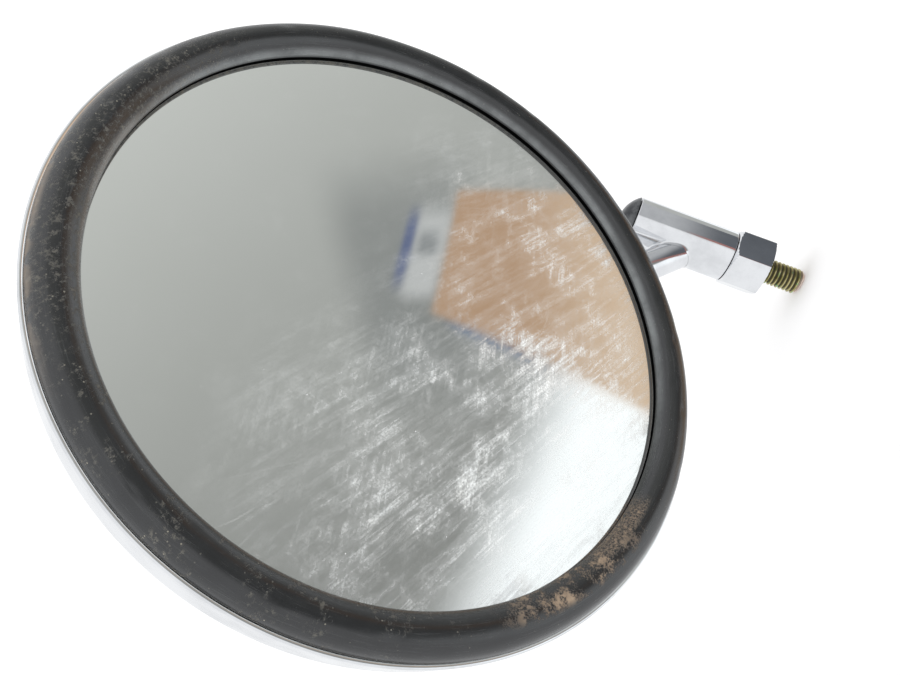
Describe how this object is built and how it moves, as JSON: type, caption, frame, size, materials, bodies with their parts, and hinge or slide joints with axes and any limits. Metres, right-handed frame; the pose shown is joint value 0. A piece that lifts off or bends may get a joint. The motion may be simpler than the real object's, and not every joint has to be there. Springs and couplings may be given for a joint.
{
  "type": "vehicle rear-view mirror",
  "caption": "Round convex rear-view mirror in a thick rubber rim on a chromed shell, with a bent stem on a ball joint and a swivel boss over a hexagonal foot and mounting stud.",
  "frame": {"origin": "centre of the hexagonal foot's seating face, on the stud axis", "axes": "+Z along the stud axis away from the vehicle, so the stud points -Z; the glass looks along -Y and 20.1 degrees down; the head hangs out towards -X"},
  "size_m": [0.1746, 0.0872, 0.1653],
  "materials": {
    "chrome": "bright chrome plate, light wear",
    "steel": "plain zinc-plated steel",
    "dark_steel": "dull dark plate",
    "yellow_zinc": "yellow zinc passivate",
    "bronze": "sintered bronze",
    "fibre": "red vulcanised fibre",
    "nylon": "natural nylon",
    "rubber": "dirty semi-gloss black rubber",
    "card": "plain fibre card",
    "mirror": "silvered glass, smeared"
  },
  "bodies": {
    "base": {"hex_base": "chrome", "threaded_stud": "yellow_zinc", "friction_washer": "fibre", "thrust_washer": "steel", "disc_spring_1": "steel", "disc_spring_2": "steel", "disc_spring_3": "steel", "lock_nut": "steel"},
    "arm": {"swivel_boss": "chrome", "bush": "bronze", "end_cap": "dark_steel", "stem_rod": "chrome", "braze_fillet": "chrome", "ball_stud": "steel"},
    "ball_inner": {"ball_liner": "nylon"},
    "ball_outer": {"seat_ring": "bronze"},
    "head": {"socket_housing": "steel", "pressure_cup": "steel", "ball_spring": "steel", "clamp_plate": "steel", "clamp_screw_1": "steel", "clamp_screw_2": "steel", "clamp_screw_3": "steel", "clamp_nut_1": "steel", "clamp_nut_2": "steel", "clamp_nut_3": "steel", "rivet_1": "steel", "rivet_2": "steel", "rivet_3": "steel", "back_shell": "chrome", "backing_card": "card", "mirror_glass": "mirror", "rubber_rim": "rubber"}
  },
  "joints": [
    {"name": "arm_swivel", "type": "hinge", "parent": "base", "child": "arm", "pos_m": [0, 0, 0.0285], "axis": [0, 0, 1], "continuous": true},
    {"name": "head_tilt", "type": "hinge", "parent": "arm", "child": "ball_inner", "pos_m": [-0.0964, -0.01579, 0.09516], "axis": [1, 0, 0], "range_deg": [-18, 8]},
    {"name": "head_pan", "type": "hinge", "parent": "ball_inner", "child": "ball_outer", "pos_m": [-0.0964, -0.01579, 0.09516], "axis": [0, -0.3437, 0.9391], "range_deg": [-18, 8]},
    {"name": "head_spin", "type": "hinge", "parent": "ball_outer", "child": "head", "pos_m": [-0.0964, -0.01579, 0.09516], "axis": [0, -0.9391, -0.3437], "continuous": true}
  ]
}
